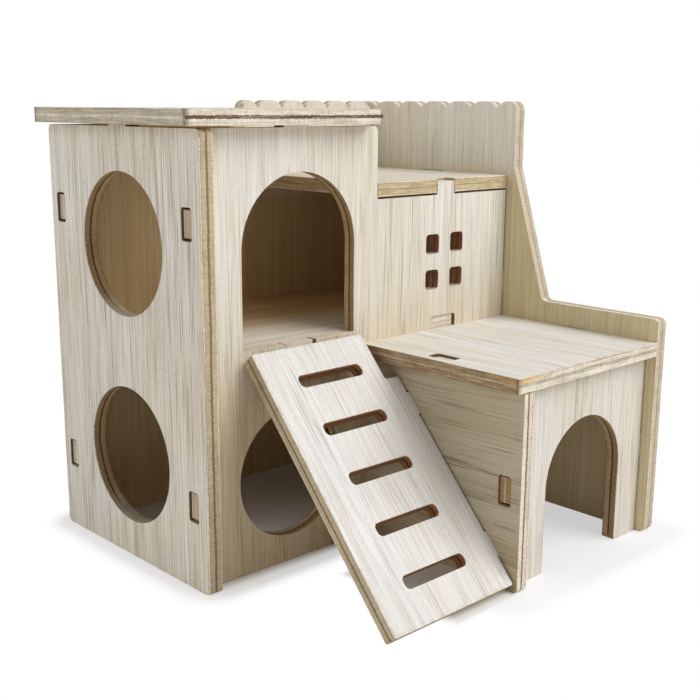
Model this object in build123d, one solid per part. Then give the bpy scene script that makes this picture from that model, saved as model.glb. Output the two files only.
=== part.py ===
from build123d import *
import math
import os

# Hamster house: a flat-pack of plywood boards that push together with tabs and slots.
#
# Millimetres, +Z up. Every board is drawn in house coordinates: x = 0 is the outer face of the
# tower's side panel, y = 0 that panel's front edge and z = 0 the ground; x runs to the right
# and y to the back. The finished boards are then moved so that the origin lies on the ground
# below the middle of the overall box.

# ---- Driving dimensions ----

board = 5.5                     # thickness of every board

# Plan
tower_width = 85.4              # side panel's outer face to the tower's right edge
house_width = 168.3             # side panel's outer face to the right panel's outer face
tower_depth = 97.5              # side panel's front edge to its back edge
front_setback = 5.5             # side panel's front edge to the front panel's face
back_setback = 4.0              # back panel's outer face to the side panel's back edge
hut_reach = 71.1                # the hut's front edges before the side panel's front edge
hut_width = 87.8                # hut side wall's outer face to the right panel's outer face
hut_front_setback = 4.5         # hut's front edges to the face of its front wall

# Heights above the ground
wall_height = 160.0             # top of the tower's walls
floor_height = 77.8             # underside of the upper floor
middle_height = 132.8           # top of the front panel beside the tower
hut_wall_height = 72.7          # top of the hut's walls
ledge_height = 87.5             # top of the right panel above the hut
slope_top_height = 142.5        # where the right panel's slope ends
back_foot_gap = 1.0             # the back panel hangs clear of the ground by this much

# Right panel's outline, and the scalloped parapets
ledge_length = 55.5             # the ledge, from the hut's front edge to the foot of the slope
parapet_rise = 3.2              # crests of the scallops above the tower roof's top
parapet_setback = 1.7           # side panel's front edge to the parapet's front edge
scallop_pitch = 14.5            # from valley to valley on the right panel
scallop_depth = 3.4             # from crest to valley
scallop_shoulder_radius = 6.5   # round at each side of a crest
first_scallop_length = 10.6     # right panel's front edge to the first valley
back_scallop_pitch = 13.4       # from valley to valley on the back panel
back_first_scallop_length = 8.8 # tower's right edge to the back panel's first valley

# Openings
side_hole_radius = 26.0         # both round holes of the side panel
side_hole_rise = 14.0           # lowest point of the lower side hole
crown_drop = 15.4               # top of the door and of the upper side hole, below the wall's top
door_width = 53.0               # arched door of the tower
door_shift = 1.5                # the door's middle, right of the tower's middle
front_hole_radius = 24.7        # round hole under the door
front_hole_rise = 10.0          # its lowest point
front_hole_shift = -2.5         # its middle, right of the tower's middle
window_width = 7.6
window_height = 8.0
window_pitch = 14.4             # between the middles of neighbouring windows, both ways
window_rise = 11.5              # top of the upper floor to the lower windows' sills
hut_door_width = 46.6           # arched door of the hut, open to the ground
hut_door_height = 55.6

# Roofs
roof_left_overhang = 6.0        # tower roof beyond the side panel's outer face
roof_front_overhang = 1.5       # tower roof before the side panel's front edge
roof_right_setback = 4.4        # tower roof's right edge before the tower's right edge
roof_back_setback = 1.2         # tower roof's back edge before the side panel's back edge
hut_roof_overhang = 3.6         # hut roof beyond the hut side wall's outer face

# Ramp
ramp_width = 59.3
ramp_foot_setback = 5.1         # the ramp's foot behind the hut's front edges
ramp_top_lift = 1.8             # its lower top edge above the underside of the upper floor
ramp_step_drop = 4.7            # the narrow top starts this far under the hut roof
ramp_roof_gap = 3.9             # the narrow top's right edge to the hut roof
ramp_low_tab = 15.9             # foot of the ramp to the middle of its lower tab
ramp_high_tab = 32.0            # top of the ramp to the middle of its upper tab
ramp_slot_length = 30.0
ramp_slot_width = 4.9
ramp_slot_pitch = 19.5
ramp_slot_shift = -0.5          # the slots' middle, right of the ramp's middle
ramp_first_slot = 14.9          # foot of the ramp to the middle of the first slot
ramp_top_margin = 10.0          # least distance from the last slot's middle to the top

# Tabs, slots and clearances
tab_length = 9.5                # tabs of the upright boards and of the ramp
top_tab_length = 11.0           # tabs that stand up through the tower roof
hut_top_tab_length = 9.6        # tab that stands up through the hut roof
middle_tab_length = 10.0        # tab of the front panel that stands up through the middle roof
floor_tab_length = 13.2         # tabs of the level boards
tab_recess = 1.0                # tab's end below the outer face that it comes through
tab_end_clearance = 0.9         # at each end of a tab in its slot
tab_side_clearance = 0.2        # on each side of a tab in its slot
notch_clearance = 0.3           # around the tab in the middle roof's notch
low_tab_height = 30.6           # middle of the lower tabs of the front and back panels
high_tab_drop = 31.0            # middle of their upper left tabs, below the walls' top
ledge_tab_rise = 6.0            # middle of their right tabs, above the right panel's ledge
hut_top_tab_reach = 37.5        # front panel's face to the middle of the hut side wall's top tab
end_gap = 0.5                   # right ends of boards to the right panel's inner face
roof_seat_gap = 0.8             # tower's walls to the tower roof
middle_seat_gap = 0.8           # front panel's middle block to the middle roof
hut_seat_gap = 0.3              # hut's walls to the hut roof
middle_roof_gap = 0.3           # tower's right edge to the middle roof
ramp_side_gap = 0.7             # ramp's right edge to the hut side wall
ramp_wall_gap = 0.2             # ramp's top to the front panel

# Rounded corners
panel_corner_radius = 2.0
foot_corner_radius = 3.0        # right panel's foot at the hut's front
ledge_corner_radius = 2.5
ledge_fillet_radius = 3.0       # inside corner where the slope leaves the ledge
parapet_corner_radius = 4.0
hut_foot_radius = 1.8
door_corner_radius = 1.0
door_foot_radius = 0.8
window_corner_radius = 1.5
slot_corner_radius = 1.2
tab_root_radius = 0.8
ramp_slot_end_radius = 2.0
ramp_foot_radius = 1.0
ramp_top_radius = 0.8

# ---- Places that follow ----

front_panel_y = front_setback
back_panel_y = tower_depth - back_setback - board
right_panel_x = house_width - board
hut_wall_x = house_width - hut_width
hut_front_y = -hut_reach
hut_front_wall_y = hut_front_y + hut_front_setback

room_front_y = front_panel_y + board
floor_top = floor_height + board
crown_height = wall_height - crown_drop
tower_roof_z = wall_height + roof_seat_gap
parapet_height = tower_roof_z + board + parapet_rise
middle_roof_z = middle_height + middle_seat_gap
middle_roof_x = tower_width + middle_roof_gap
hut_roof_z = hut_wall_height + hut_seat_gap
valley_height = parapet_height - scallop_depth
board_right_end = right_panel_x - end_gap
tab_reach = board - tab_recess

side_middle = tower_depth / 2
tower_middle = (board + tower_width) / 2
block_middle = (tower_width + right_panel_x) / 2
hut_middle = (hut_wall_x + board + right_panel_x) / 2
door_middle = tower_middle + door_shift
hut_tab_height = hut_wall_height / 2
hut_top_tab_y = front_panel_y - hut_top_tab_reach
high_tab_height = wall_height - high_tab_drop
right_tab_heights = (low_tab_height, ledge_height + ledge_tab_rise)

ramp_foot_y = hut_front_y + ramp_foot_setback
ramp_run = front_panel_y - ramp_wall_gap - ramp_foot_y
ramp_rise = floor_height + ramp_top_lift
ramp_angle = math.degrees(math.atan2(ramp_rise, ramp_run))
ramp_length = math.hypot(ramp_rise, ramp_run)
ramp_right = hut_wall_x - ramp_side_gap
ramp_left = ramp_right - ramp_width
ramp_tabs = (ramp_low_tab, ramp_length - ramp_high_tab)
ramp_plane = Plane((0, ramp_foot_y, 0), x_dir=(1, 0, 0), z_dir=(0, -ramp_rise, ramp_run))


# ---- Drawing helpers: outlines are flat, in the two axes of their board ----

def rectangle(left, bottom, right, top):
    """A rectangle between two opposite corners."""
    centre = Pos((left + right) / 2, (bottom + top) / 2)
    return centre * Rectangle(right - left, top - bottom)


def rounded(outline, radius, *corners):
    """The outline with its corners nearest to the given points rounded."""
    picked = [outline.vertices().sort_by_distance((x, y, 0))[0] for x, y in corners]
    return fillet(picked, radius)


def arch(middle, bottom, width, top):
    """A doorway with a half-round head."""
    radius = width / 2
    spring = top - radius
    doorway = rectangle(middle - radius, bottom, middle + radius, spring)
    return doorway + Pos(middle, spring) * Circle(radius)


def slot(x, y, length, turn=0):
    """The slot for a tab, with its long side along y before it is turned."""
    shape = RectangleRounded(board + 2 * tab_side_clearance, length + 2 * tab_end_clearance,
                             slot_corner_radius)
    return Pos(x, y) * Rot(0, 0, turn) * shape


def end_tab(start, end, middle, length):
    """A tab that runs along x from start to end."""
    return rectangle(min(start, end), middle - length / 2, max(start, end), middle + length / 2)


def top_tab(outline, middle, start, end, length):
    """The outline with a tab that stands up from start to end, its root rounded."""
    left = middle - length / 2
    right = middle + length / 2
    outline += rectangle(left, start, right, end)
    return rounded(outline, tab_root_radius, (left, start), (right, start))


def scallops(start, end, first_valley, pitch):
    """A row of scallops from start to end, cut off square and rounded at both ends."""
    shoulder_angle = math.acos(1 - scallop_depth / scallop_shoulder_radius)
    overlap = scallop_shoulder_radius * (1 - math.sin(shoulder_angle))
    height = 4 * scallop_shoulder_radius
    count = math.ceil((end - first_valley) / pitch) + 1
    row = Sketch()
    for number in range(count):
        middle = first_valley + (number - 0.5) * pitch
        scallop = RectangleRounded(pitch + 2 * overlap, height, scallop_shoulder_radius)
        row += Pos(middle, parapet_height - height / 2) * scallop
    span = rectangle(start, valley_height - board, end, parapet_height)
    span = rounded(span, parapet_corner_radius, (start, parapet_height), (end, parapet_height))
    return row & span


# ---- Boards from outlines ----

def board_across(x, outline):
    """An upright board across the house, drawn in y and z, with its left face at x."""
    return extrude(Plane((x, 0, 0), x_dir=(0, 1, 0), z_dir=(1, 0, 0)) * outline, board)


def board_along(y, outline):
    """An upright board along the house, drawn in x and z, with its front face at y."""
    return extrude(Plane((0, y + board, 0), x_dir=(1, 0, 0), z_dir=(0, -1, 0)) * outline, board)


def board_level(z, outline):
    """A level board, drawn in x and y, with its underside at z."""
    return extrude(Pos(0, 0, z) * outline, board)


# ---- The boards ----

def tower_side_panel():
    """Left wall of the tower: two round holes, and slots for the front and back panels."""
    outline = rectangle(0, 0, tower_depth, wall_height)
    outline = fillet(outline.vertices(), panel_corner_radius)
    outline = top_tab(outline, side_middle, wall_height, tower_roof_z + tab_reach, top_tab_length)
    for z in (side_hole_rise + side_hole_radius, crown_height - side_hole_radius):
        outline -= Pos(side_middle, z) * Circle(side_hole_radius)
    for y in (front_panel_y, back_panel_y):
        for z in (low_tab_height, high_tab_height):
            outline -= slot(y + board / 2, z, tab_length)
    return board_across(0, outline)


def windows():
    """Two by two small windows in the middle block."""
    low = floor_top + window_rise + window_height / 2
    window = RectangleRounded(window_width, window_height, window_corner_radius)
    for x in (block_middle - window_pitch / 2, block_middle + window_pitch / 2):
        for z in (low, low + window_pitch):
            yield Pos(x, z) * window


def front_panel():
    """Front wall of the tower and of the middle block."""
    outline = rectangle(board, 0, board_right_end, middle_height)
    outline += rectangle(board, 0, tower_width, wall_height)
    outline = rounded(outline, panel_corner_radius, (tower_width, wall_height))
    outline = rounded(outline, door_corner_radius, (tower_width, middle_height))
    for z in (low_tab_height, high_tab_height):
        outline += end_tab(board, tab_recess, z, tab_length)
    for z in right_tab_heights:
        outline += end_tab(board_right_end, right_panel_x + tab_reach, z, tab_length)
    outline = top_tab(outline, tower_middle, wall_height, tower_roof_z + tab_reach,
                      top_tab_length)
    outline = top_tab(outline, block_middle, middle_height, middle_roof_z + tab_reach,
                      middle_tab_length)

    door = arch(door_middle, floor_top, door_width, crown_height)
    door_left = door_middle - door_width / 2
    door_right = door_middle + door_width / 2
    door = rounded(door, door_corner_radius, (door_left, floor_top), (door_right, floor_top))
    notch_half = floor_tab_length / 2 + tab_end_clearance
    sill_notch = rectangle(door_middle - notch_half, floor_height - tab_side_clearance,
                           door_middle + notch_half, floor_top + tab_side_clearance)
    outline -= door
    outline -= sill_notch
    outline -= Pos(tower_middle + front_hole_shift, front_hole_rise + front_hole_radius) * (
        Circle(front_hole_radius))
    for window in windows():
        outline -= window
    outline -= slot(block_middle, floor_height + board / 2, floor_tab_length, turn=90)
    outline -= slot(hut_wall_x + board / 2, hut_tab_height, tab_length)
    return board_along(front_panel_y, outline)


def back_panel():
    """Rear wall of the tower and of the middle block, with a scalloped parapet."""
    outline = rectangle(board, back_foot_gap, board_right_end, wall_height)
    outline += rectangle(tower_width, back_foot_gap, board_right_end, valley_height)
    outline += scallops(tower_width, board_right_end, tower_width + back_first_scallop_length,
                        back_scallop_pitch)
    for z in (low_tab_height, high_tab_height):
        outline += end_tab(board, tab_recess, z, tab_length)
    for z in right_tab_heights:
        outline += end_tab(board_right_end, right_panel_x + tab_reach, z, tab_length)
    outline = top_tab(outline, tower_middle, wall_height, tower_roof_z + tab_reach,
                      top_tab_length)
    for x in (tower_middle, block_middle):
        outline -= slot(x, floor_height + board / 2, floor_tab_length, turn=90)
    outline -= slot(block_middle, middle_roof_z + board / 2, floor_tab_length, turn=90)
    return board_along(back_panel_y, outline)


def right_side_panel():
    """Right wall of the middle block and of the hut, with ledge, slope and parapet."""
    slope_foot = (hut_front_y + ledge_length, ledge_height)
    outline = make_face(Polyline(
        (hut_front_y, 0),
        (tower_depth, 0),
        (tower_depth, valley_height),
        (parapet_setback, valley_height),
        (parapet_setback, slope_top_height),
        slope_foot,
        (hut_front_y, ledge_height),
        close=True))
    outline = rounded(outline, foot_corner_radius, (hut_front_y, 0))
    outline = rounded(outline, panel_corner_radius, (tower_depth, 0))
    outline = rounded(outline, ledge_corner_radius, (hut_front_y, ledge_height))
    outline = rounded(outline, ledge_fillet_radius, slope_foot)
    outline += scallops(parapet_setback, tower_depth, parapet_setback + first_scallop_length,
                        scallop_pitch)
    for y in (front_panel_y, back_panel_y):
        for z in right_tab_heights:
            outline -= slot(y + board / 2, z, tab_length)
    outline -= slot(hut_front_wall_y + board / 2, hut_tab_height, tab_length)
    for y, z in ((side_middle, floor_height), (side_middle, middle_roof_z),
                 (hut_top_tab_y, hut_roof_z)):
        outline -= slot(y, z + board / 2, floor_tab_length, turn=90)
    return board_across(right_panel_x, outline)


def upper_floor():
    """Floor of the upper rooms. Its front tabs show in the door's sill and under the windows."""
    outline = rectangle(board, room_front_y, right_panel_x, back_panel_y)
    half = floor_tab_length / 2
    for x in (door_middle, block_middle):
        outline += rectangle(x - half, front_panel_y + tab_recess, x + half, room_front_y)
    for x in (tower_middle, block_middle):
        outline += rectangle(x - half, back_panel_y, x + half, back_panel_y + tab_reach)
    outline += end_tab(right_panel_x, right_panel_x + tab_reach, side_middle, floor_tab_length)
    return board_level(floor_height, outline)


def mid_roof():
    """Roof of the middle block, between the tower and the parapets."""
    outline = rectangle(middle_roof_x, front_panel_y, right_panel_x, back_panel_y)
    half = floor_tab_length / 2
    outline += rectangle(block_middle - half, back_panel_y, block_middle + half,
                         back_panel_y + tab_reach)
    outline += end_tab(right_panel_x, right_panel_x + tab_reach, side_middle, floor_tab_length)
    notch_half = middle_tab_length / 2 + notch_clearance
    outline -= rectangle(block_middle - notch_half, front_panel_y, block_middle + notch_half,
                         room_front_y + tab_side_clearance)
    return board_level(middle_roof_z, outline)


def tower_roof():
    """Roof of the tower. It sits on the roots of three tabs and lifts off."""
    outline = rectangle(-roof_left_overhang, -roof_front_overhang,
                        tower_width - roof_right_setback, tower_depth - roof_back_setback)
    outline -= slot(board / 2, side_middle, top_tab_length)
    for y in (front_panel_y, back_panel_y):
        outline -= slot(tower_middle, y + board / 2, top_tab_length, turn=90)
    return board_level(tower_roof_z, outline)


def ramp_slot_place(distance):
    """A point in the middle of the ramp's thickness, as y and z, this far up from its foot."""
    place = ramp_plane.from_local_coords(Vector(0, distance, board / 2))
    return place.Y, place.Z


def hut_side_wall():
    """Left wall of the hut, with the inclined slots that hold the ramp."""
    outline = rectangle(hut_front_y, 0, front_panel_y, hut_wall_height)
    outline = rounded(outline, hut_foot_radius, (hut_front_y, 0))
    outline += end_tab(front_panel_y, front_panel_y + tab_reach, hut_tab_height, tab_length)
    outline = top_tab(outline, hut_top_tab_y, hut_wall_height, hut_roof_z + tab_reach,
                      hut_top_tab_length)
    outline -= slot(hut_front_wall_y + board / 2, hut_tab_height, tab_length)
    for distance in ramp_tabs:
        y, z = ramp_slot_place(distance)
        outline -= slot(y, z, tab_length, turn=ramp_angle - 90)
    return board_across(hut_wall_x, outline)


def hut_front_wall():
    """Front wall of the hut, with a doorway open to the ground."""
    left = hut_wall_x + board
    door_left = hut_middle - hut_door_width / 2
    door_right = hut_middle + hut_door_width / 2
    outline = rectangle(left, 0, board_right_end, hut_wall_height)
    outline += end_tab(left, hut_wall_x + tab_recess, hut_tab_height, tab_length)
    outline += end_tab(board_right_end, right_panel_x + tab_reach, hut_tab_height, tab_length)
    outline -= arch(hut_middle, 0, hut_door_width, hut_door_height)
    outline = rounded(outline, door_foot_radius, (door_left, 0), (door_right, 0))
    return board_along(hut_front_wall_y, outline)


def hut_roof():
    """Roof of the hut, let in below the right panel's ledge."""
    outline = rectangle(hut_wall_x - hut_roof_overhang, hut_front_y, right_panel_x,
                        front_panel_y)
    outline += end_tab(right_panel_x, right_panel_x + tab_reach, hut_top_tab_y,
                       floor_tab_length)
    outline -= slot(hut_wall_x + board / 2, hut_top_tab_y, hut_top_tab_length)
    return board_level(hut_roof_z, outline)


def ramp():
    """Climbing ramp with slots for the claws. Two side tabs plug into the hut side wall."""
    narrow_right = hut_wall_x - hut_roof_overhang - ramp_roof_gap
    upper_face_rise = board * ramp_run / ramp_length
    step_height = hut_roof_z - ramp_step_drop - upper_face_rise
    step = step_height * ramp_length / ramp_rise
    outline = rectangle(ramp_left, 0, narrow_right, ramp_length)
    outline += rectangle(ramp_left, 0, ramp_right, step)
    outline = rounded(outline, ramp_foot_radius, (ramp_left, 0), (ramp_right, 0))
    outline = rounded(outline, ramp_top_radius, (ramp_left, ramp_length),
                      (narrow_right, ramp_length), (narrow_right, step), (ramp_right, step))
    for distance in ramp_tabs:
        outline += end_tab(ramp_right, hut_wall_x + tab_reach, distance, tab_length)
    slot_middle = (ramp_left + ramp_right) / 2 + ramp_slot_shift
    claw_slot = RectangleRounded(ramp_slot_length, ramp_slot_width, ramp_slot_end_radius)
    distance = ramp_first_slot
    while distance <= ramp_length - ramp_top_margin:
        outline -= Pos(slot_middle, distance) * claw_slot
        distance += ramp_slot_pitch
    return extrude(ramp_plane * outline, board)


# ---- Export, one file per board ----

boards = (tower_side_panel, front_panel, back_panel, right_side_panel, upper_floor, mid_roof,
          tower_roof, hut_side_wall, hut_front_wall, hut_roof, ramp)
to_origin = Pos(-(house_width - roof_left_overhang) / 2, -(tower_depth - hut_reach) / 2, 0)

os.makedirs("parts", exist_ok=True)
for make_board in boards:
    export_step(to_origin * make_board(), f"parts/{make_board.__name__}.step")
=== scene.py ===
import math

import bpy
from mathutils import Matrix, Vector


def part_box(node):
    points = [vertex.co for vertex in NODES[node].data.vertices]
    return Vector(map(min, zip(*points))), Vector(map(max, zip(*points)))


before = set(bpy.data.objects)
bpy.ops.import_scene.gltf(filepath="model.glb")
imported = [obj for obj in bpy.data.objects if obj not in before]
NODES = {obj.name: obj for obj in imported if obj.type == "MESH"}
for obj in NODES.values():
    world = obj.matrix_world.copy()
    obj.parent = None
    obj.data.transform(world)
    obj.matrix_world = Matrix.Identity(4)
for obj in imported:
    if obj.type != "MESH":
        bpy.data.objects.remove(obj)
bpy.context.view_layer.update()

bl_info = {
    "name": "Hamster House Finish",
    "version": (1, 0, 0),
    "blender": (4, 5, 0),
    "location": "View3D > Sidebar > House",
    "description": "Dresses the boards of a slot-together hamster house as whitewashed plywood",
    "category": "Object",
}

MM = 0.001

UP = Vector((0, 0, 1))
RIGHT = Vector((1, 0, 0))
BACK = Vector((0, 1, 0))


# ---- Settings ----

def colour(name, description, default):
    """A colour setting."""
    return bpy.props.FloatVectorProperty(name=name, description=description, default=default,
                                         size=3, min=0.0, max=1.0, subtype="COLOR")


def share(name, description, default):
    """A setting from 0 to 1."""
    return bpy.props.FloatProperty(name=name, description=description, default=default,
                                   min=0.0, max=1.0, subtype="FACTOR")


def length(name, description, default):
    """A length setting, in metres."""
    return bpy.props.FloatProperty(name=name, description=description, default=default,
                                   min=0.0, unit="LENGTH", precision=5)


class HouseFinish(bpy.types.PropertyGroup):
    """Colours and wear of the plywood."""
    wash_white: colour("White wash", "Veneer under the thickest wash", (0.86, 0.855, 0.84))
    wash_cream: colour("Cream wash", "Veneer under a thin wash", (0.78, 0.715, 0.55))
    wash_rose: colour("Rosy wash", "Veneer under the wash where it is rosy", (0.77, 0.685, 0.575))
    wash_olive: colour("Olive wash", "Veneer where the wood shows through", (0.44, 0.385, 0.255))
    # Painted warm shade: darkens and yellows the wash near the ground, where the shade under the
    # ramp falls
    foot_shade: colour("Foot shade", "Painted warm shade near the ground", (0.92, 0.83, 0.63))
    streak: colour("Streaks", "Fine dark lines of the washed grain", (0.42, 0.33, 0.215))
    pore: colour("Pores", "Open pores of the veneer", (0.25, 0.185, 0.115))
    bare_light: colour("Bare light", "Unwashed veneer, light bands", (0.76, 0.55, 0.30))
    bare_dark: colour("Bare dark", "Unwashed veneer, dark bands", (0.60, 0.40, 0.19))
    bare_olive: colour("Bare olive", "Unwashed veneer that is greener", (0.71, 0.61, 0.35))
    bare_streak: colour("Bare streaks", "Dark lines of the unwashed grain", (0.25, 0.15, 0.07))
    ply_cream: colour("Cream ply", "Pale layers of a cut edge", (0.86, 0.79, 0.64))
    ply_pink: colour("Pink ply", "Rosy layers of a cut edge", (0.80, 0.69, 0.57))
    ply_tan: colour("Tan ply", "Speckled layers of a cut edge", (0.58, 0.48, 0.31))
    ply_brown: colour("Brown ply", "Layers that the cut has browned", (0.38, 0.255, 0.125))
    ply_grey: colour("Grey ply", "End grain of the layers", (0.56, 0.51, 0.39))
    ply_gold: colour("Golden ply", "Layers with a golden tint", (0.60, 0.49, 0.28))
    ply_honey: colour("Honey ply", "Layers that the cut has tanned", (0.50, 0.37, 0.19))
    ply_rose: colour("Rose ply", "Layers of the right panel's rim", (0.66, 0.545, 0.41))
    ply_rust: colour("Rusty ply", "Rosy brown layers of a tab's end", (0.55, 0.42, 0.30))
    ply_toast: colour("Toasted ply", "Layers that the cut has toasted", (0.42, 0.21, 0.085))
    glue_soft: colour("Soft glue line", "Soft dark line between two layers", (0.26, 0.18, 0.11))
    glue_line: colour("Glue line", "Sharp dark line between two layers", (0.11, 0.062, 0.042))
    char: colour("Char", "Char that the laser left", (0.11, 0.052, 0.020))
    # Painted shade: the dark red used on the rims of the small window cuts, which stands for the
    # shade inside them
    window_shade: colour("Window shade", "Painted dark red shade inside the small window cuts", (0.30, 0.10, 0.05))
    amber: colour("Amber", "Resin that the laser's heat drew out", (0.68, 0.40, 0.09))
    softening: length("Edge softening", "Width of the eased edges", 0.2 * MM)
    streak_strength: share("Streak strength", "How dark the lines of the washed grain are", 0.36)
    pore_strength: share("Pore strength", "How dark the open pores are", 0.45)
    bare_strength: share("Bare streak strength", "How dark the lines of the bare grain are", 0.30)
    rub: share("Rub", "How far bare wood shows at a rubbed rim", 0.5)
    speckle_strength: share("Speckle strength", "How dark the speckles of end grain are", 0.22)
    smoke_strength: share("Smoke strength", "How dark the smoke on a cut edge is", 0.14)
    relief: length("Relief", "Height of the grain", 0.08 * MM)
    relief_strength: share("Relief strength", "How clearly the grain stands out", 0.35)
    roughness: share("Roughness", "Roughness of the washed veneer", 0.62)
    streak_roughness: share("Streak roughness", "How much rougher the streaks are", 0.1)
    edge_roughness: share("Edge roughness", "How much rougher a cut edge is", 0.22)
    shine: share("Shine", "Strength of the veneer's reflections", 0.35)


class HouseStage(bpy.types.PropertyGroup):
    """Camera, lamps and floor."""
    camera_place: bpy.props.FloatVectorProperty(
        name="Camera place", description="Where the camera stands", subtype="TRANSLATION",
        default=(-0.284154, -0.298538, 0.16729), size=3, unit="LENGTH")
    camera_azimuth: bpy.props.FloatProperty(
        name="Camera azimuth", description="0 looks to the back, negative stands to the left",
        default=math.radians(-43.351), subtype="ANGLE")
    camera_elevation: bpy.props.FloatProperty(
        name="Camera elevation", description="How far the camera looks down",
        default=math.radians(12.783), subtype="ANGLE")
    camera_roll: bpy.props.FloatProperty(
        name="Camera roll", description="Turn of the picture", default=math.radians(0.321),
        subtype="ANGLE")
    lens: bpy.props.FloatProperty(name="Lens", description="Focal length in millimetres",
                                  default=55.345, min=10.0, subtype="DISTANCE_CAMERA")
    sky: bpy.props.FloatProperty(name="Sky", description="Strength of the light from all round",
                                 default=0.36, min=0.0)
    key_power: bpy.props.FloatProperty(name="Key power", description="Power of the main soft box",
                                       default=13.7, min=0.0, subtype="POWER")
    key_direction: bpy.props.FloatVectorProperty(
        name="Key direction", description="Where the main soft box stands", size=3,
        default=(0.5, -0.85, 0.95), subtype="DIRECTION")
    key_distance: length("Key distance", "From the main soft box to the house", 1.3)
    fill_power: bpy.props.FloatProperty(name="Fill power", description="Power of the left soft box",
                                        default=5.6, min=0.0, subtype="POWER")
    fill_direction: bpy.props.FloatVectorProperty(
        name="Fill direction", description="Where the left soft box stands", size=3,
        default=(-1.0, 0.55, 0.45), subtype="DIRECTION")
    fill_distance: length("Fill distance", "From the left soft box to the house", 1.4)
    lamp_size: length("Lamp size", "Side of a soft box", 1.0)
    aim_height: length("Aim height", "Height of the point that the lamps look at", 0.08)
    floor_size: length("Floor size", "Side of the floor", 6.0)
    floor: colour("Floor", "Colour of the floor", (0.90, 0.90, 0.90))
    shadow_reach: length("Shadow reach", "How far beside the house its shadow shows", 0.018)
    shadow_share: share("Shadow share", "How much of the shadow outside the tower shows", 0.45)


# ---- Node tools ----

COLUMN_WIDTH = 180      # from one node to the next in the node editor
WHITE = (1, 1, 1)


class NodeSheet:
    """A node tree with short calls to add nodes and join them."""

    def __init__(self, tree):
        self.tree = tree
        self.column = 0

    def add(self, kind, inputs=None, **settings):
        """Adds a node, sets it up, and joins or fills its inputs."""
        node = self.tree.nodes.new(kind)
        node.location = (self.column * COLUMN_WIDTH, 0)
        self.column += 1
        for key, value in settings.items():
            setattr(node, key, value)
        for key, value in (inputs or {}).items():
            self.feed(node.inputs[key], value)
        return node

    def feed(self, socket, value):
        """Joins a socket to an output, or sets its value. A colour may be three numbers."""
        if isinstance(value, bpy.types.NodeSocket):
            self.tree.links.new(value, socket)
        elif socket.type == "RGBA" and len(value) == 3:
            socket.default_value = (*value, 1.0)
        else:
            socket.default_value = value

    def vector_math(self, operation, first, second=(0.0, 0.0, 0.0), output="Vector"):
        """Result of one Vector Math node."""
        node = self.add("ShaderNodeVectorMath", {0: first, 1: second}, operation=operation)
        return node.outputs[output]

    def split(self, vector):
        """The outputs X, Y and Z of a vector."""
        return self.add("ShaderNodeSeparateXYZ", {0: vector}).outputs

    def math(self, operation, first, second=0.0, clamp=False):
        """Result of one Math node."""
        node = self.add("ShaderNodeMath", {0: first, 1: second}, operation=operation)
        node.use_clamp = clamp
        return node.outputs[0]

    def ramp(self, value, low, high, to_low=0.0, to_high=1.0):
        """A value taken smoothly from one range to another and held at its ends."""
        node = self.add("ShaderNodeMapRange", {
            "Value": value, "From Min": low, "From Max": high,
            "To Min": to_low, "To Max": to_high}, interpolation_type="SMOOTHSTEP")
        return node.outputs["Result"]

    def group(self, name, inputs):
        """The outputs of one of the node groups."""
        node = self.add("ShaderNodeGroup", node_tree=bpy.data.node_groups[name])
        for key, value in inputs.items():
            self.feed(node.inputs[key], value)
        return node.outputs

    def blend(self, first, second, factor):
        """Two values blended."""
        node = self.add("ShaderNodeMix", {0: factor, 2: first, 3: second}, data_type="FLOAT")
        return node.outputs[0]

    def mix(self, factor, first, second):
        """Two colours mixed."""
        node = self.add("ShaderNodeMix", data_type="RGBA")
        self.feed(node.inputs[0], factor)
        self.feed(node.inputs[6], first)
        self.feed(node.inputs[7], second)
        return node.outputs[2]

    def noise(self, name, vector):
        """One of the noises of the wood."""
        size, detail, shift = NOISES[name]
        mapped = self.add("ShaderNodeMapping", {
            "Vector": vector, "Scale": tuple(1 / side for side in size),
            "Location": tuple(shift * ratio for ratio in SHIFT_RATIOS)})
        noise = self.add("ShaderNodeTexNoise", {
            "Vector": mapped.outputs[0], "Scale": 1.0, "Detail": detail})
        return noise.outputs["Fac"]

    def swing(self, name, vector, width):
        """One of the noises of the wood, swinging about 0 over this width."""
        centred = self.math("SUBTRACT", self.noise(name, vector), 0.5)
        return self.math("MULTIPLY", centred, width)


def new_group(name, inputs, outputs):
    """An empty node group, with its sheet and its input and output nodes."""
    tree = bpy.data.node_groups.new(name, "ShaderNodeTree")
    for direction, sockets in (("INPUT", inputs), ("OUTPUT", outputs)):
        for socket_name, kind in sockets:
            tree.interface.new_socket(socket_name, in_out=direction,
                                      socket_type="NodeSocket" + kind)
    sheet = NodeSheet(tree)
    group_input = sheet.add("NodeGroupInput")
    group_output = sheet.add("NodeGroupOutput")
    return sheet, group_input.outputs, group_output.inputs


def new_material(name):
    """A material without nodes, and its sheet."""
    material = bpy.data.materials.new(name)
    material.use_nodes = True
    material.node_tree.nodes.clear()
    return material, NodeSheet(material.node_tree)


# ---- Figure of the wood ----

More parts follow.
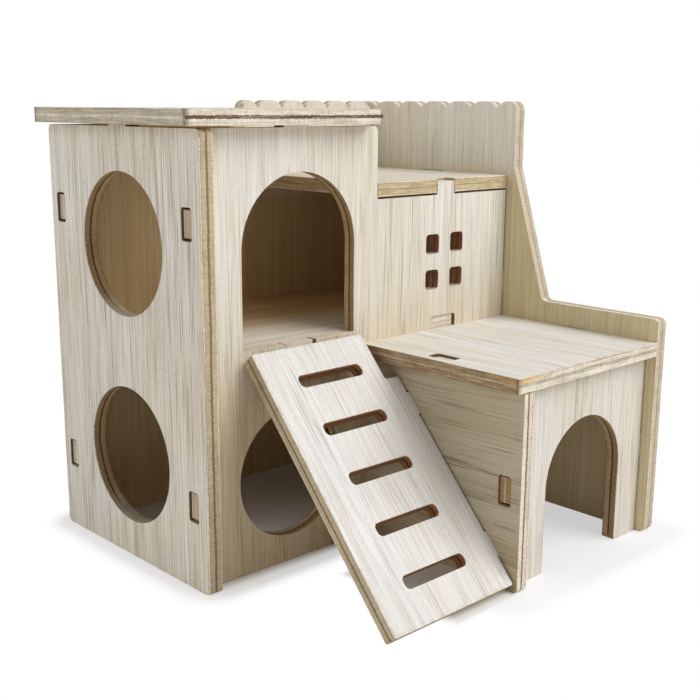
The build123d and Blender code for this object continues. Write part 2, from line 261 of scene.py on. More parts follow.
# Noises: the size of their grains in millimetres across, along and through the board, how many
# finer sizes join in, and how far the noise is shifted, which keeps it apart from the others.
NOISES = {
    "sway": ((30, 60, 30), 1.0, 3.1),
    "bands": ((7, 200, 30), 2.0, 11.0),
    "zones": ((40, 90, 60), 1.0, 23.0),
    "rosy bands": ((11, 240, 30), 1.0, 97.0),
    "coarse streaks": ((1.9, 110, 20), 1.0, 31.0),
    "middle streaks": ((0.60, 110, 20), 1.0, 37.0),
    "fine streaks": ((0.30, 40, 20), 0.0, 47.0),
    "fibres": ((0.28, 1.6, 20), 0.0, 53.0),
    "dashes": ((0.26, 22, 20), 0.0, 59.0),
    "crowds": ((3, 60, 20), 1.0, 71.0),
    "wander": ((16, 16, 40), 3.0, 5.0),
    "ragged": ((0.8, 0.8, 3.0), 2.0, 13.0),
    "dots": ((0.6, 0.6, 0.9), 2.0, 17.0),
    "ticks": ((0.5, 0.5, 6.0), 1.0, 19.0),
    "threads": ((9, 9, 0.5), 2.0, 43.0),
    "smoke": ((8, 8, 4), 3.0, 29.0),
    "patches": ((3, 3, 3), 3.0, 83.0),
}
SHIFT_RATIOS = (1.0, 0.7, 1.3)

# How much of a second noise is blended into a first one
ZONES_IN_TONE = 0.4
MIDDLE_IN_STREAKS = 0.62
FINE_IN_STREAKS = 0.60
FIBRES_IN_STREAKS = 0.18
CROWDS_IN_PORES = 0.4
TICKS_IN_SPECKLE = 0.5

# The part of a noise's range that is spread from 0 to 1
TONE_RANGE = (0.30, 0.70)
TINT_RANGE = (0.35, 0.65)
STREAK_RANGE = (0.40, 0.62)
PORE_RANGE = (0.565, 0.68)
SPECKLE_RANGE = (0.40, 0.64)
THREAD_RANGE = (0.35, 0.65)
SMOKE_RANGE = (0.40, 0.70)
PATCH_RANGE = (0.42, 0.62)

STREAK_DEPTH = 0.6              # depth of a streak, as a share of a pore's
EVEN_HEAT = 0.7                 # share of the heat of the cutting that isn't patchy

# Shares of a board's thickness
WANDER = 0.14                   # how far a glue line wanders
RAGGEDNESS = 0.16               # how ragged a glue line is
SKIN = (0.004, 0.02)            # depth at which a face gives way to its cut edge

# Distances inside a board's outline, in millimetres
INNER_FROM = (0.6, 2.0)         # past these a cut is an inner one
SLOTS_WITHIN = (15.0, 19.0)     # inner cuts up to here belong to slots
CORNER_WITHIN = (0.6, 2.2)      # a corner is this near to two sides
SCORCH_WITHIN = (1.5, 20.0)     # and the heat of the cutting reaches this far from it
RUB_WITHIN = (0.0, 1.6)         # how wide a rubbed rim is


def veneer_figure():
    """Group: the figure of a veneer, from millimetres across, along and through the grain."""
    sheet, given, result = new_group(
        "Veneer figure",
        [("Vector", "Vector"), ("Waviness", "Float")],
        [("Tone", "Float"), ("Tint", "Float"), ("Streaks", "Float"), ("Pores", "Float"),
         ("Height", "Float")])
    sway = sheet.swing("sway", given["Vector"], given["Waviness"])
    aside = sheet.add("ShaderNodeCombineXYZ", {"X": sway}).outputs[0]
    vector = sheet.vector_math("ADD", given["Vector"], aside)

    tone = sheet.blend(sheet.noise("bands", vector), sheet.noise("zones", vector), ZONES_IN_TONE)
    sheet.feed(result["Tone"], sheet.ramp(tone, *TONE_RANGE))
    tint = sheet.noise("rosy bands", vector)
    sheet.feed(result["Tint"], sheet.ramp(tint, *TINT_RANGE))

    streaks = sheet.noise("coarse streaks", vector)
    streaks = sheet.blend(streaks, sheet.noise("middle streaks", vector), MIDDLE_IN_STREAKS)
    streaks = sheet.blend(streaks, sheet.noise("fine streaks", vector), FINE_IN_STREAKS)
    streaks = sheet.blend(streaks, sheet.noise("fibres", vector), FIBRES_IN_STREAKS)
    streaks = sheet.ramp(streaks, *STREAK_RANGE)
    sheet.feed(result["Streaks"], streaks)

    pores = sheet.blend(sheet.noise("dashes", vector), sheet.noise("crowds", vector),
                        CROWDS_IN_PORES)
    pores = sheet.ramp(pores, *PORE_RANGE)
    sheet.feed(result["Pores"], pores)
    height = sheet.math("SUBTRACT", sheet.math("MULTIPLY", streaks, -STREAK_DEPTH), pores)
    sheet.feed(result["Height"], height)


def ply_layers():
    """Group: how the layers of a cut edge wander, and the speckles of their end grain."""
    sheet, given, result = new_group(
        "Ply layers",
        [("Vector", "Vector"), ("Depth", "Float")],
        [("Layer", "Float"), ("Speckle", "Float"), ("Threads", "Float"), ("Smoke", "Float"),
         ("Edge", "Float")])
    vector = given["Vector"]
    shift = sheet.math("ADD", sheet.swing("wander", vector, WANDER),
                       sheet.swing("ragged", vector, RAGGEDNESS))
    layer = sheet.math("ADD", given["Depth"], shift, clamp=True)
    sheet.feed(result["Layer"], layer)
    speckle = sheet.blend(sheet.noise("dots", vector), sheet.noise("ticks", vector),
                          TICKS_IN_SPECKLE)
    sheet.feed(result["Speckle"], sheet.ramp(speckle, *SPECKLE_RANGE))
    sheet.feed(result["Threads"], sheet.ramp(sheet.noise("threads", vector), *THREAD_RANGE))
    sheet.feed(result["Smoke"], sheet.ramp(sheet.noise("smoke", vector), *SMOKE_RANGE))
    from_hidden = sheet.math("SUBTRACT", 1.0, given["Depth"])
    from_face = sheet.math("MINIMUM", given["Depth"], from_hidden)
    sheet.feed(result["Edge"], sheet.ramp(from_face, *SKIN))


def outline_reach():
    """Group: how deep inside a board's outline a place is, and where its rim is rubbed."""
    sheet, given, result = new_group(
        "Outline reach",
        [("Place", "Vector"), ("Half Size", "Vector")],
        [("Inner", "Float"), ("Slots", "Float"), ("Rub", "Float"), ("Corner", "Float"),
         ("Scorch", "Float")])
    from_middle = sheet.vector_math("ABSOLUTE", given["Place"])
    sides = sheet.split(sheet.vector_math("SUBTRACT", given["Half Size"], from_middle))
    nearest = sheet.math("MINIMUM", sides["X"], sides["Y"])
    sheet.feed(result["Inner"], sheet.ramp(nearest, *INNER_FROM))
    sheet.feed(result["Slots"], sheet.ramp(nearest, *SLOTS_WITHIN, 1.0, 0.0))
    second = sheet.math("MAXIMUM", sides["X"], sides["Y"])
    sheet.feed(result["Corner"], sheet.ramp(second, *CORNER_WITHIN, 1.0, 0.0))
    patches = sheet.ramp(sheet.noise("patches", given["Place"]), *PATCH_RANGE)
    patchy = sheet.math("MULTIPLY", patches, 1 - EVEN_HEAT)
    heat = sheet.math("MULTIPLY", sheet.ramp(second, *SCORCH_WITHIN, 1.0, 0.0),
                      sheet.math("ADD", patchy, EVEN_HEAT))
    sheet.feed(result["Scorch"], heat)
    rim = sheet.ramp(nearest, *RUB_WITHIN, 1.0, 0.0)
    sheet.feed(result["Rub"], sheet.math("MULTIPLY", patches, rim))


# ---- Boards ----

class BoardFrame:
    """A board's own axes: across and along its grain, and through it from its show face."""

    def __init__(self, node, show, grain):
        mesh = NODES[node].data
        widest = max(mesh.polygons, key=lambda face: face.area)
        through = -widest.normal.copy()
        if through.dot(show) > 0:
            through.negate()
        along = (grain - through * grain.dot(through)).normalized()
        across = along.cross(through)
        axes = (across, along, through)
        spans = [[vertex.co.dot(axis) for vertex in mesh.vertices] for axis in axes]
        lows = [min(span) for span in spans]
        highs = [max(span) for span in spans]
        self.half_size = [(high - low) / 2 / MM for low, high in zip(lows, highs)]
        self.thickness = 2 * self.half_size[2]
        middle = [(lows[0] + highs[0]) / 2, (lows[1] + highs[1]) / 2, lows[2]]
        self.origin = sum((axis * place for axis, place in zip(axes, middle)), Vector())
        self.along = along
        self.rotation = Matrix(axes).transposed().to_euler()


# The look of each board, with places and heights in millimetres:
#   show, grain       which side shows, and which way its grain runs
#   waviness          how far the grain sways
#   cream, thin       how creamy and how thin the wash is
#   contrast          how strong the streaks and pores are
#   foot              painted warm shade near the ground: how strongly the wash is darkened
#                     and yellowed there, the height up to which it is fully so, and the
#                     height where that ends
#   bare, bare_from   painted shade on the show side deeper in a room: how far it takes the
#                     bare wood's colour there, and the two places (y) between which the wash
#                     gives way
#   olive, washed     how olive and how washed the hidden side is
#   washed_from       painted light: the place (x) and height past which the hidden side, where
#                     light falls on it, is painted pale with the wash, and how much
#   edges             styles of the cut edges that face across and along the grain
#   burn, inner       how burnt the inner cuts are, and in which style
#   soot              how sooty the inner cuts of the slots are
#   window_shade_from     painted shade: the place (x) and height past which inner cuts, the small
#                     windows, are painted dark red for the shade inside them, and how much
#   sills             painted light: the height past which inner cuts that face up are painted
#                     pale as if lit from above, and how much
#   corners, threads  how burnt the corners of the rim are, and how uneven its layers
#   scorch            how much resin shows near the left corners of the rim
BOARDS = {
    "tower_side_panel": dict(
        show=-RIGHT, grain=UP, waviness=1.5, cream=0.50, contrast=1.6,
        edges=("tan", "tan"), burn=1.0, soot=0.75, sills=(0.0, 0.4)),
    "front_panel": dict(
        show=-BACK, grain=UP, waviness=1.5, cream=0.48, thin=0.01, contrast=1.05,
        foot=(0.9, 50, 110), edges=("tab", "core"), burn=1.0, window_shade_from=(10, 90, 0.75),
        sills=(60, 0.75)),
    "back_panel": dict(
        show=BACK, grain=UP, waviness=2.0, cream=0.70, contrast=0.7, olive=0.45,
        washed_from=(4.5, 125, 1.0), edges=("grey", "light")),
    "right_side_panel": dict(
        show=RIGHT, grain=UP, waviness=2.0, cream=0.60, contrast=0.8, olive=0.9, washed=0.2,
        washed_from=(0, 134, 0.95), edges=("slope", "light")),
    "upper_floor": dict(
        show=UP, grain=RIGHT, waviness=2.5, cream=0.45, contrast=1.0, bare=0.85,
        bare_from=(14, 38), edges=("sill", "tan")),
    "mid_roof": dict(
        show=UP, grain=RIGHT, waviness=2.0, cream=0.65, contrast=0.9,
        edges=("gold", "gold"), burn=0.3, threads=0.25),
    "tower_roof": dict(
        show=UP, grain=RIGHT, waviness=2.0, cream=0.22, contrast=0.7,
        edges=("striped", "grey"), corners=0.65, threads=0.25),
    # The hut's side wall has a thin, olive wash: partly its own veneer, partly painted shade from
    # the ramp above it
    "hut_side_wall": dict(
        show=-RIGHT, grain=BACK, waviness=6.0, cream=0.90, thin=0.80, contrast=1.9,
        foot=(0.4, 14, 24), edges=("light", "seam"), burn=1.0),
    "hut_front_wall": dict(
        show=-BACK, grain=UP, waviness=2.0, cream=0.42, thin=0.14, contrast=1.0,
        edges=("deep tab", "core"), burn=1.0),
    "hut_roof": dict(
        show=UP, grain=BACK, waviness=6.0, cream=0.30, contrast=0.9,
        edges=("brown", "core"), burn=1.0, soot=0.8, corners=0.5, threads=0.3, scorch=0.85),
    "ramp": dict(
        show=UP, grain=UP, waviness=2.0, cream=0.03, contrast=1.0,
        edges=("tan", "tan"), burn=1.0, inner="toasted"),
}

# Layers of a cut edge, from the show face to the hidden face: where a layer ends, as a share
# of the thickness, and its colour. Neighbours run into each other over a short step.
EDGE_STYLES = {
    "tan": ((0.06, "ply_cream"), (0.10, "glue_soft"), (0.43, "ply_tan"), (0.60, "glue_soft"),
            (0.94, "ply_tan"), (1.0, "ply_cream")),
    "striped": ((0.05, "ply_grey"), (0.39, "ply_cream"), (0.60, "glue_line"),
                (0.80, "ply_cream"), (0.84, "ply_grey"), (1.0, "ply_pink")),
    "core": ((0.06, "ply_cream"), (0.10, "glue_soft"), (0.40, "ply_cream"), (0.44, "glue_soft"),
             (0.62, "ply_grey"), (1.0, "ply_cream")),
    "gold": ((0.08, "ply_cream"), (0.12, "ply_brown"), (0.48, "ply_gold"), (0.54, "ply_brown"),
             (0.93, "ply_gold"), (1.0, "ply_cream")),
    "grey": ((0.05, "ply_cream"), (0.09, "glue_soft"), (0.44, "ply_grey"), (0.60, "ply_pink"),
             (0.96, "ply_grey"), (1.0, "glue_soft")),
    "brown": ((0.08, "glue_soft"), (0.42, "ply_brown"), (0.55, "ply_tan"), (0.60, "glue_soft"),
              (0.94, "ply_brown"), (1.0, "glue_soft")),
    "light": ((0.05, "ply_cream"), (0.42, "ply_tan"), (0.50, "glue_soft"), (0.62, "ply_pink"),
              (1.0, "ply_cream")),
    "seam": ((0.36, "ply_cream"), (0.52, "glue_soft"), (0.84, "ply_pink"), (0.88, "glue_soft"),
             (1.0, "ply_cream")),
    "slope": ((0.05, "ply_cream"), (0.42, "ply_grey"), (0.52, "ply_brown"),
              (0.94, "ply_rose"), (1.0, "ply_cream")),
    "sill": ((0.44, "ply_cream"), (0.52, "ply_grey"), (1.0, "ply_pink")),
    "tab": ((0.08, "glue_soft"), (0.40, "ply_rust"), (0.56, "ply_tan"), (0.90, "ply_rust"),
            (1.0, "ply_cream")),
    "deep tab": ((0.08, "glue_soft"), (0.45, "ply_brown"), (0.52, "glue_soft"),
                 (0.64, "ply_gold"), (0.92, "ply_brown"), (1.0, "glue_soft")),
    "burnt": ((0.05, "ply_cream"), (0.42, "ply_brown"), (0.56, "char"), (0.95, "ply_honey"),
              (1.0, "char")),
    "toasted": ((0.05, "ply_cream"), (0.42, "ply_toast"), (0.56, "char"), (0.95, "ply_toast"),
                (1.0, "char")),
}
LAYER_STEP = 0.03

SEED_STEPS = (37.0, 211.0, 0.0)     # shift of the figure to the next board, in millimetres
CREAM_SWING = 0.5                   # how far the cream of the wash follows the figure
ROSE_SHARE = 0.12                   # how rosy the bands of the wash are
ROSE_PER_CREAM = 0.25               # and how much more so where it is creamy
THIN_SWING = 0.5                    # how far a thin wash follows the figure
THIN_LEAST = 0.75                   # its thinness where it is thickest, as a share
TURN_RANGE = (0.55, 0.85)           # how squarely a cut faces along the grain, not across it
LEVEL_RANGE = (0.7, 0.95)           # how squarely a cut faces up, from a slope to a sill
SIDE_STEP = 1.5                     # width of the change at a place, in millimetres
HEIGHT_STEP = 12.0                  # and at a height
DARK_THREADS = (0.5, 1.0)           # the part of the threads that is darker than the layers
PALE_THREADS = (0.0, 0.5)           # and the part that is paler
RESIN_LAYERS = (0.30, 0.42)         # resin shows down to here, as a share of the thickness
RESIN_ACROSS = 0.45                 # where a cut faces across the grain, this share of it shows
RESIN_PLACES = (20, 50)             # places (x) between which resin runs out, in millimetres
SPECKLE_RELIEF = 0.5                # depth of a speckle, as a share of a pore's


def edge_colours(sheet, layer, style):
    """Colours of a cut edge in one style."""
    finish = bpy.context.scene.house_finish
    node = sheet.add("ShaderNodeValToRGB", {0: layer})
    elements = node.color_ramp.elements
    elements[0].color = (*getattr(finish, EDGE_STYLES[style][0][1]), 1)
    elements[1].position = 0.0
    elements[1].color = elements[0].color
    start = 0.0
    for end, name in EDGE_STYLES[style]:
        flat_from = start + LAYER_STEP / 2
        flat_to = max(end - LAYER_STEP / 2, flat_from)
        if start > 0:
            elements.new(flat_from).color = (*getattr(finish, name), 1)
        if end < 1:
            elements.new(flat_to).color = (*getattr(finish, name), 1)
        start = end
    return node.outputs[0]


class Plywood:
    """Material of a board: washed show face, bare hidden face, and layered cut edges."""

    def __init__(self, name, board, look, seed):
        self.finish = bpy.context.scene.house_finish
        self.look = look
        self.material, self.sheet = new_material(name)
        sheet = self.sheet
        self.coordinates = sheet.add("ShaderNodeTexCoord").outputs
        on_board = sheet.add("ShaderNodeMapping", {
            "Vector": self.coordinates["Object"], "Location": board.origin,
            "Rotation": board.rotation, "Scale": (MM, MM, MM)}, vector_type="TEXTURE").outputs[0]
        self.depth = sheet.math("DIVIDE", sheet.split(on_board)["Z"], board.thickness, clamp=True)
        vector = sheet.vector_math("ADD", on_board, tuple(seed * step for step in SEED_STEPS))
        self.figure = sheet.group("Veneer figure", {
            "Vector": vector, "Waviness": look["waviness"]})
        self.layers = sheet.group("Ply layers", {"Vector": vector, "Depth": self.depth})
        self.reach = sheet.group("Outline reach", {
            "Place": on_board, "Half Size": board.half_size})
        crossing = sheet.vector_math("DOT_PRODUCT", self.coordinates["Normal"], board.along,
                                     "Value")
        self.turn = sheet.ramp(sheet.math("ABSOLUTE", crossing), *TURN_RANGE)

    def place(self):
        """The outputs X, Y and Z of a point's place, in metres."""
        return self.sheet.split(self.coordinates["Object"])

    def cover(self, below, factor, share_of_it, above):
        """A colour laid over another by a varying factor and a share of it."""
        return self.sheet.mix(self.sheet.math("MULTIPLY", factor, share_of_it), below, above)

    def past(self, left, low, most):
        """Rises to its most to the right of a place and above a height, in millimetres."""
        place = self.place()
        right = self.sheet.ramp(place["X"], left * MM, (left + SIDE_STEP) * MM)
        above = self.sheet.ramp(place["Z"], low * MM, (low + HEIGHT_STEP) * MM)
        return self.sheet.math("MULTIPLY", self.sheet.math("MULTIPLY", right, above), most)

    def washed(self):
        """Colour of a whitewashed face."""
        sheet, finish, look, figure = self.sheet, self.finish, self.look, self.figure
        tone = sheet.math("MULTIPLY", sheet.math("SUBTRACT", figure["Tone"], 0.5), CREAM_SWING)
        tone = sheet.math("ADD", tone, look["cream"], clamp=True)
        washed = sheet.mix(tone, finish.wash_white, finish.wash_cream)
        rose = ROSE_SHARE + ROSE_PER_CREAM * look["cream"]
        washed = self.cover(washed, figure["Tint"], rose, finish.wash_rose)
        if "thin" in look:
            thin = sheet.math("MULTIPLY", figure["Tone"], THIN_SWING)
            thin = sheet.math("ADD", thin, THIN_LEAST)
            thin = sheet.math("MULTIPLY", thin, look["thin"], clamp=True)
            washed = sheet.mix(thin, washed, finish.wash_olive)
        streaks = finish.streak_strength * look["contrast"]
        washed = self.cover(washed, figure["Streaks"], streaks, finish.streak)
        pores = finish.pore_strength * look["contrast"]
        washed = self.cover(washed, figure["Pores"], pores, finish.pore)
        # Painted warm shade near the ground: the wash is darkened and yellowed up to a height
        if "foot" in look:
            most, low, high = look["foot"]
            foot_shading = sheet.ramp(self.place()["Z"], low * MM, high * MM, most, 0.0)
            foot_shaded = sheet.vector_math("MULTIPLY", washed, finish.foot_shade)
            washed = sheet.mix(foot_shading, washed, foot_shaded)
        return washed

    def bare(self):
        """Colour of a face without a wash."""
        bare = self.sheet.mix(self.figure["Tone"], self.finish.bare_light, self.finish.bare_dark)
        if "olive" in self.look:
            bare = self.sheet.mix(self.look["olive"], bare, self.finish.bare_olive)
        return self.cover(bare, self.figure["Streaks"], self.finish.bare_strength,
                          self.finish.bare_streak)

    def faces(self):
        """Colours of the show face and the hidden face."""
        sheet, look = self.sheet, self.look
        washed = self.washed()
        bare = self.bare()
        shown = self.cover(washed, self.reach["Rub"], self.finish.rub, bare)
        # Painted shade: deeper in the room, away from the lit door, the show face takes the bare
        # wood's darker colour
        if "bare" in look:
            start, end = look["bare_from"]
            room_shade = sheet.ramp(self.place()["Y"], start * MM, end * MM)
            shown = self.cover(shown, room_shade, look["bare"], bare)
        hidden = bare
        if "washed" in look:
            hidden = sheet.mix(look["washed"], hidden, washed)
        # Painted light: past a place and above a height, where light falls into the open top, the
        # hidden side is painted pale with the wash; below, in the shade of the rooms, it stays bare
        # and dark
        if "washed_from" in look:
            hidden = sheet.mix(self.past(*look["washed_from"]), hidden, washed)
        return sheet.mix(sheet.math("GREATER_THAN", self.depth, 0.5), shown, hidden)

    def inner_cut(self):
        """Colours of the cut edges of holes and slots."""
        sheet, finish, look = self.sheet, self.finish, self.look
        burnt = edge_colours(sheet, self.layers["Layer"], look.get("inner", "burnt"))
        if "soot" in look:
            burnt = self.cover(burnt, self.reach["Slots"], look["soot"], finish.char)
        # Painted shade: inner cuts past a place and above a height, the small windows, are painted
        # dark red for the shade inside them
        if "window_shade_from" in look:
            burnt = sheet.mix(self.past(*look["window_shade_from"]), burnt, finish.window_shade)
        # Painted light: inner cuts that face up, above a height, are painted pale as if lit from
        # above
        if "sills" in look:
            low, most = look["sills"]
            level = sheet.ramp(sheet.split(self.coordinates["Normal"])["Z"], *LEVEL_RANGE)
            above = sheet.math("GREATER_THAN", self.place()["Z"], low * MM)
            pale = sheet.math("MULTIPLY", level, above)
            burnt = self.cover(burnt, pale, most, finish.ply_cream)
        return burnt

    def resin(self):
        """Where the heat of the cutting drew resin out."""
        sheet = self.sheet
        upper = sheet.ramp(self.layers["Layer"], *RESIN_LAYERS, 1.0, 0.0)
        heat = sheet.math("MULTIPLY", self.reach["Scorch"], upper)
        heat = sheet.math("MULTIPLY", heat, sheet.ramp(self.turn, 0.0, 1.0, RESIN_ACROSS, 1.0))
        start, end = RESIN_PLACES
        left = sheet.ramp(self.place()["X"], start * MM, end * MM, 1.0, 0.0)
        return sheet.math("MULTIPLY", heat, left)

    def cut(self):
        """Colours of the cut edges."""
        sheet, finish, look, layers = self.sheet, self.finish, self.look, self.layers
        across, along = look["edges"]
        cut = sheet.mix(self.turn, edge_colours(sheet, layers["Layer"], across),
                        edge_colours(sheet, layers["Layer"], along))
        if "burn" in look:
            cut = self.cover(cut, self.reach["Inner"], look["burn"], self.inner_cut())
        if "threads" in look:
            dark = sheet.ramp(layers["Threads"], *DARK_THREADS)
            pale = sheet.ramp(layers["Threads"], *PALE_THREADS, 1.0, 0.0)
            cut = self.cover(cut, dark, look["threads"], finish.glue_soft)
            cut = self.cover(cut, pale, look["threads"], finish.ply_cream)
        if "scorch" in look:
            cut = self.cover(cut, self.resin(), look["scorch"], finish.amber)
        grime = sheet.math("ADD",
                           sheet.math("MULTIPLY", layers["Speckle"], finish.speckle_strength),
                           sheet.math("MULTIPLY", layers["Smoke"], finish.smoke_strength))
        if "corners" in look:
            corner = sheet.math("MULTIPLY", self.reach["Corner"], look["corners"])
            grime = sheet.math("MAXIMUM", grime, corner)
        return sheet.mix(grime, cut, finish.char)

    def relief(self):
        """Normal of the grain's relief."""
        speckle = self.sheet.math("MULTIPLY", self.layers["Speckle"], -SPECKLE_RELIEF)
        height = self.sheet.math("ADD", self.figure["Height"], speckle)
        bump = self.sheet.add("ShaderNodeBump", {
            "Height": height, "Strength": self.finish.relief_strength,
            "Distance": self.finish.relief})
        return bump.outputs[0]

    def roughness(self):
        """Roughness, which is higher in the streaks and on cut edges."""
        sheet, finish = self.sheet, self.finish
        streaks = sheet.math("MULTIPLY", self.figure["Streaks"], finish.streak_roughness)
        edges = sheet.math("MULTIPLY", self.layers["Edge"], finish.edge_roughness)
        return sheet.math("ADD", sheet.math("ADD", finish.roughness, streaks), edges)

    def finished(self):
        """The material, with its shader joined up."""
        colours = self.sheet.mix(self.layers["Edge"], self.faces(), self.cut())
        shader = self.sheet.add("ShaderNodeBsdfPrincipled", {
            "Base Color": colours, "Roughness": self.roughness(), "Normal": self.relief(),
            "Specular IOR Level": self.finish.shine})
        self.sheet.add("ShaderNodeOutputMaterial", {0: shader.outputs[0]})
        return self.material


WELD_DISTANCE = 0.01 * MM
FLAT_ANGLE = math.radians(0.5)      # faces that meet at less than this are one
SHARP_ANGLE = math.radians(40)      # edges sharper than this are eased


def soften_edges(piece, width):
    """Eases the sharp edges of a board, as sanding does."""
    weld = piece.modifiers.new("Weld", "WELD")
    weld.merge_threshold = WELD_DISTANCE
    flatten = piece.modifiers.new("Flatten", "DECIMATE")
    flatten.decimate_type = "DISSOLVE"
    flatten.angle_limit = FLAT_ANGLE
    bevel = piece.modifiers.new("Eased edges", "BEVEL")
    bevel.width = width
    bevel.segments = 2
    bevel.limit_method = "ANGLE"
    bevel.angle_limit = SHARP_ANGLE
    bevel.use_clamp_overlap = True
    bevel.loop_slide = False
    bevel.harden_normals = True


def dress_board(node):
    """Gives a board its plywood material and its eased edges."""
    look = BOARDS[node]
    board = BoardFrame(node, look["show"], look["grain"])
    seed = list(BOARDS).index(node) + 1
    piece = NODES[node]
    piece.data.materials.clear()
    piece.data.materials.append(Plywood(node + "_ply", board, look, seed).finished())
    soften_edges(piece, bpy.context.scene.house_finish.softening)


# ---- Stage ----

SENSOR_WIDTH = 36.0                 # of the camera, in millimetres
NEAREST_SEEN = 10 * MM              # distance from which the camera sees things

# The shadow on the floor fades beside the tower over this step. It is kept in full where three
# things meet: the ramp is above it, the hut's side wall is near, and it lies far in front (y).
OUTSIDE_STEP = 8 * MM
RAMP_STEP = 3 * MM
WALL_DISTANCES = (28 * MM, 36 * MM)
FRONT_PLACES = (-36 * MM, -28 * MM)


def soft_box(name, direction, distance, power):
    """A square area lamp that looks at the house."""
    stage = bpy.context.scene.house_stage
    lamp = bpy.data.lights.new(name, "AREA")
    lamp.energy = power
    lamp.size = stage.lamp_size
    lamp_object = bpy.data.objects.new(name, lamp)
    bpy.context.scene.collection.objects.link(lamp_object)
    direction = Vector(direction).normalized()
    lamp_object.location = direction * distance + UP * stage.aim_height
    lamp_object.rotation_euler = direction.to_track_quat("Z", "Y").to_euler()


def distance_beside(sheet, place, node):
    """Distance on the ground from a place to the plan of a level board."""
    low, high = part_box(node)
    centre = (low + high) / 2
    half = (high - low) / 2
    offset = sheet.vector_math("SUBTRACT", place, (centre.x, centre.y, 0))
    offset = sheet.vector_math("ABSOLUTE", offset)
    beyond = sheet.vector_math("SUBTRACT", offset, (half.x, half.y, 0))
    beyond = sheet.vector_math("MAXIMUM", beyond)
    return sheet.vector_math("LENGTH", beyond, output="Value")


def seen_directly(sheet):
    """1 for rays from the camera, and for those that metal and glass pass on."""
    rays = sheet.add("ShaderNodeLightPath").outputs
    seen = sheet.math("MAXIMUM", rays["Is Camera Ray"], rays["Is Glossy Ray"])
    return sheet.math("MAXIMUM", seen, rays["Is Transmission Ray"])


def floor_material(stage):
    """Material: a pale floor that the camera sees as white away from the house."""
    material, sheet = new_material("pale_floor")
    place = sheet.add("ShaderNodeTexCoord").outputs["Object"]
    beside_tower = distance_beside(sheet, place, "upper_floor")
    beside_hut = distance_beside(sheet, place, "hut_roof")
    beside_both = sheet.math("MINIMUM", beside_tower, beside_hut)
    away = sheet.ramp(beside_both, 0.0, stage.shadow_reach)
    outside = sheet.ramp(beside_tower, 0.0, OUTSIDE_STEP, 0.0, 1 - stage.shadow_share)
    away = sheet.math("MAXIMUM", away, outside)
    clear_of_ramp = sheet.ramp(distance_beside(sheet, place, "ramp"), 0.0, RAMP_STEP)
    clear_of_wall = sheet.ramp(distance_beside(sheet, place, "hut_side_wall"), *WALL_DISTANCES)
    behind = sheet.ramp(sheet.split(place)["Y"], *FRONT_PLACES)
    clear = sheet.math("MAXIMUM", clear_of_ramp, clear_of_wall)
    clear = sheet.math("MAXIMUM", clear, behind)
    away = sheet.math("MINIMUM", away, clear)
    plain = sheet.add("ShaderNodeBsdfDiffuse", {"Color": stage.floor})
    white = sheet.add("ShaderNodeEmission", {"Color": WHITE, "Strength": 1.0})
    shown = sheet.add("ShaderNodeMixShader", {
        0: sheet.math("MULTIPLY", away, seen_directly(sheet)), 1: plain.outputs[0],
        2: white.outputs[0]})
    sheet.add("ShaderNodeOutputMaterial", {0: shown.outputs[0]})
    return material


def add_floor(stage):
    """A large level floor under the house."""
    bpy.ops.object.select_all(action="DESELECT")
    bpy.ops.mesh.primitive_plane_add(size=stage.floor_size, location=(0, 0, 0))
    floor = bpy.context.active_object
    floor.name = "floor"
    floor.data.materials.append(floor_material(stage))


def add_world(stage):
    """An even light from all round, which the camera sees as white."""
    world = bpy.data.worlds.new("studio")
    bpy.context.scene.world = world
    world.use_nodes = True
    world.node_tree.nodes.clear()
    sheet = NodeSheet(world.node_tree)
    light = sheet.add("ShaderNodeBackground", {0: WHITE, 1: stage.sky})
    white = sheet.add("ShaderNodeBackground", {0: WHITE, 1: 1.0})
    both = sheet.add("ShaderNodeMixShader", {
        0: seen_directly(sheet), 1: light.outputs[0], 2: white.outputs[0]})
    sheet.add("ShaderNodeOutputWorld", {0: both.outputs[0]})


def add_camera(stage):
    """The camera at its place, turned by its azimuth, elevation and roll."""
    azimuth = stage.camera_azimuth
    elevation = stage.camera_elevation
    toward = Vector((math.sin(azimuth) * math.cos(elevation),
                     -math.cos(azimuth) * math.cos(elevation), math.sin(elevation)))
    right = UP.cross(toward).normalized()
    turned = Matrix((right, toward.cross(right), toward)).transposed()
    turned = turned @ Matrix.Rotation(stage.camera_roll, 3, "Z")
    camera = bpy.data.objects.new("camera", bpy.data.cameras.new("camera"))
    bpy.context.scene.collection.objects.link(camera)
    camera.matrix_world = Matrix.Translation(stage.camera_place) @ turned.to_4x4()
    camera.data.lens = stage.lens
    camera.data.sensor_width = SENSOR_WIDTH
    camera.data.clip_start = NEAREST_SEEN
    bpy.context.scene.camera = camera


# ---- Operators ----

class HOUSE_OT_groups(bpy.types.Operator):
    """Makes the node groups that every board's material uses"""
    bl_idname = "house.groups"
    bl_label = "Wood groups"

    def execute(self, context):
        veneer_figure()
        ply_layers()
        outline_reach()
        return {"FINISHED"}


class HOUSE_OT_tower(bpy.types.Operator):
    """Dresses the upright boards of the tower and the middle block"""
    bl_idname = "house.tower"
    bl_label = "Tower walls"

    def execute(self, context):
        for node in ("tower_side_panel", "front_panel", "back_panel", "right_side_panel"):
            dress_board(node)
        return {"FINISHED"}


class HOUSE_OT_levels(bpy.types.Operator):
    """Dresses the upper floor and the roofs of the tower and the middle block"""
    bl_idname = "house.levels"
    bl_label = "Floor and roofs"

    def execute(self, context):
        for node in ("upper_floor", "mid_roof", "tower_roof"):
            dress_board(node)
        return {"FINISHED"}


class HOUSE_OT_hut(bpy.types.Operator):
    """Dresses the boards of the hut"""
    bl_idname = "house.hut"
    bl_label = "Hut"

    def execute(self, context):
        for node in ("hut_side_wall", "hut_front_wall", "hut_roof"):
            dress_board(node)
        return {"FINISHED"}


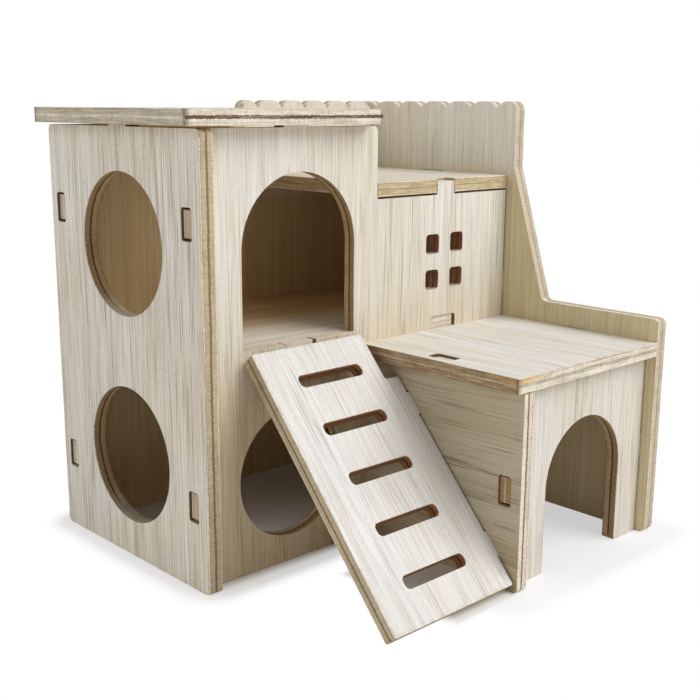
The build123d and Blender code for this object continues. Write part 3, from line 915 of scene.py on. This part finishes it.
class HOUSE_OT_ramp(bpy.types.Operator):
    """Dresses the climbing ramp"""
    bl_idname = "house.ramp"
    bl_label = "Ramp"

    def execute(self, context):
        dress_board("ramp")
        return {"FINISHED"}


class HOUSE_OT_stage(bpy.types.Operator):
    """Sets up the floor, the lamps, the sky and the camera"""
    bl_idname = "house.stage"
    bl_label = "Stage"

    def execute(self, context):
        stage = context.scene.house_stage
        add_floor(stage)
        soft_box("key", stage.key_direction, stage.key_distance, stage.key_power)
        soft_box("fill", stage.fill_direction, stage.fill_distance, stage.fill_power)
        add_world(stage)
        add_camera(stage)
        context.scene.view_settings.view_transform = "Standard"
        return {"FINISHED"}


class HOUSE_PT_panel(bpy.types.Panel):
    """Sidebar panel with the house's steps"""
    bl_label = "Hamster House"
    bl_idname = "HOUSE_PT_panel"
    bl_space_type = "VIEW_3D"
    bl_region_type = "UI"
    bl_category = "House"

    def draw(self, context):
        for step in STEPS:
            self.layout.operator(step.bl_idname)
        for settings in (context.scene.house_finish, context.scene.house_stage):
            for name in settings.bl_rna.properties.keys():
                if name not in ("rna_type", "name"):
                    self.layout.prop(settings, name)


STEPS = (HOUSE_OT_groups, HOUSE_OT_tower, HOUSE_OT_levels, HOUSE_OT_hut, HOUSE_OT_ramp,
         HOUSE_OT_stage)
CLASSES = (HouseFinish, HouseStage, *STEPS, HOUSE_PT_panel)


def register():
    """Registers the classes and the settings."""
    for one in CLASSES:
        bpy.utils.register_class(one)
    bpy.types.Scene.house_finish = bpy.props.PointerProperty(type=HouseFinish)
    bpy.types.Scene.house_stage = bpy.props.PointerProperty(type=HouseStage)


def unregister():
    """Takes the classes and the settings away."""
    del bpy.types.Scene.house_stage
    del bpy.types.Scene.house_finish
    for one in reversed(CLASSES):
        bpy.utils.unregister_class(one)


def main():
    """Dresses the boards and sets the stage."""
    register()
    bpy.ops.house.groups()
    bpy.ops.house.tower()
    bpy.ops.house.levels()
    bpy.ops.house.hut()
    bpy.ops.house.ramp()
    bpy.ops.house.stage()


if __name__ == "__main__":
    main()
